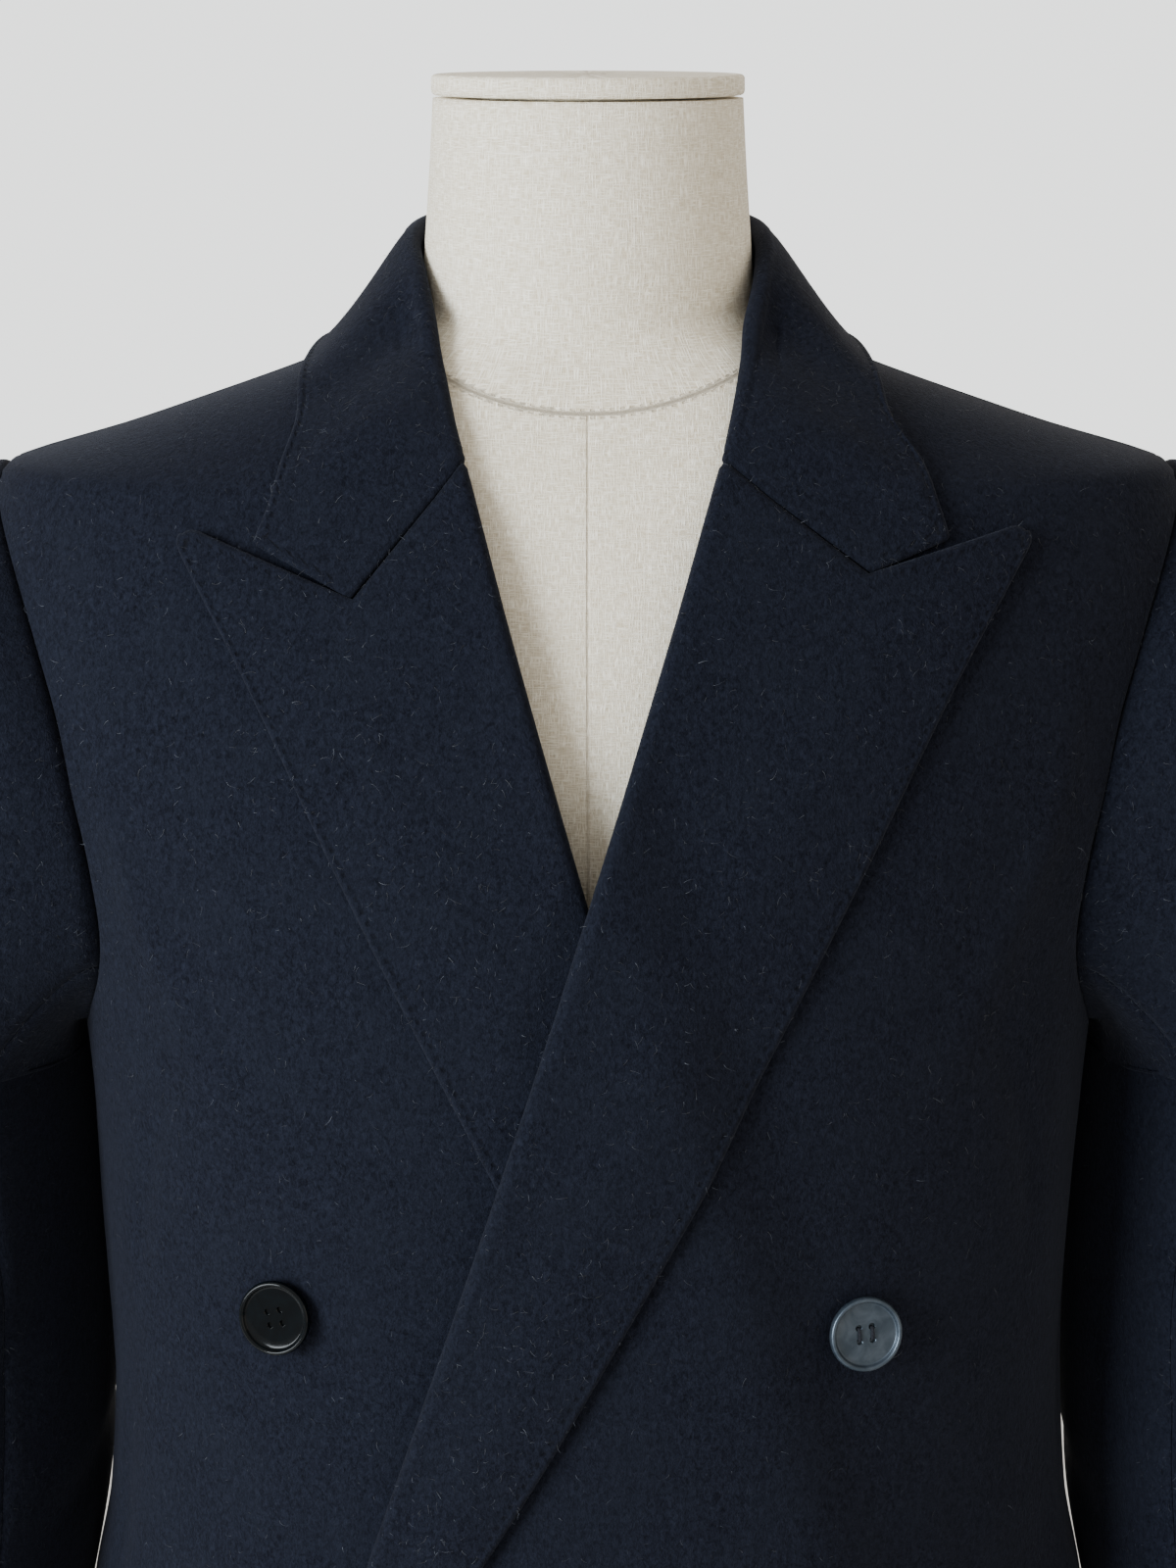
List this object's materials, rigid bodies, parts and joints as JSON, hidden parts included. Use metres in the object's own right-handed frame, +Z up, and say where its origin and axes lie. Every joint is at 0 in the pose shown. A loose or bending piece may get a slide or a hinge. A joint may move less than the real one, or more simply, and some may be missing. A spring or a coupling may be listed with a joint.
{
  "type": "wool overcoat on dress form",
  "caption": "Long double-breasted wool overcoat with peak lapels, open in front above the waist, worn on a limbless linen dress form with a pole and round base.",
  "frame": {"origin": "centre of the base's underside, on the floor", "axes": "+Z up, -Y the way the coat faces, +X the wearer's left"},
  "size_m": [0.67, 0.3818, 1.6],
  "materials": {
    "wool": "brushed melton with a short nap, dark navy",
    "button": "polished dark resin",
    "linen": "plain-woven natural linen",
    "steel": "satin black",
    "wood": "dark stained, satin"
  },
  "bodies": {
    "root": {"front_left": "wool", "front_right": "wool", "back_left": "wool", "back_right": "wool", "lapel_left": "wool", "lapel_right": "wool", "collar": "wool", "sleeve_left_top": "wool", "sleeve_left_under": "wool", "sleeve_right_top": "wool", "sleeve_right_under": "wool", "button_left_1": "button", "button_left_2": "button", "button_left_3": "button", "button_right_1": "button", "button_right_2": "button", "button_right_3": "button", "form_bust": "linen", "form_cap": "linen", "form_socket": "steel", "form_pole": "steel", "form_base": "wood"}
  },
  "joints": []
}
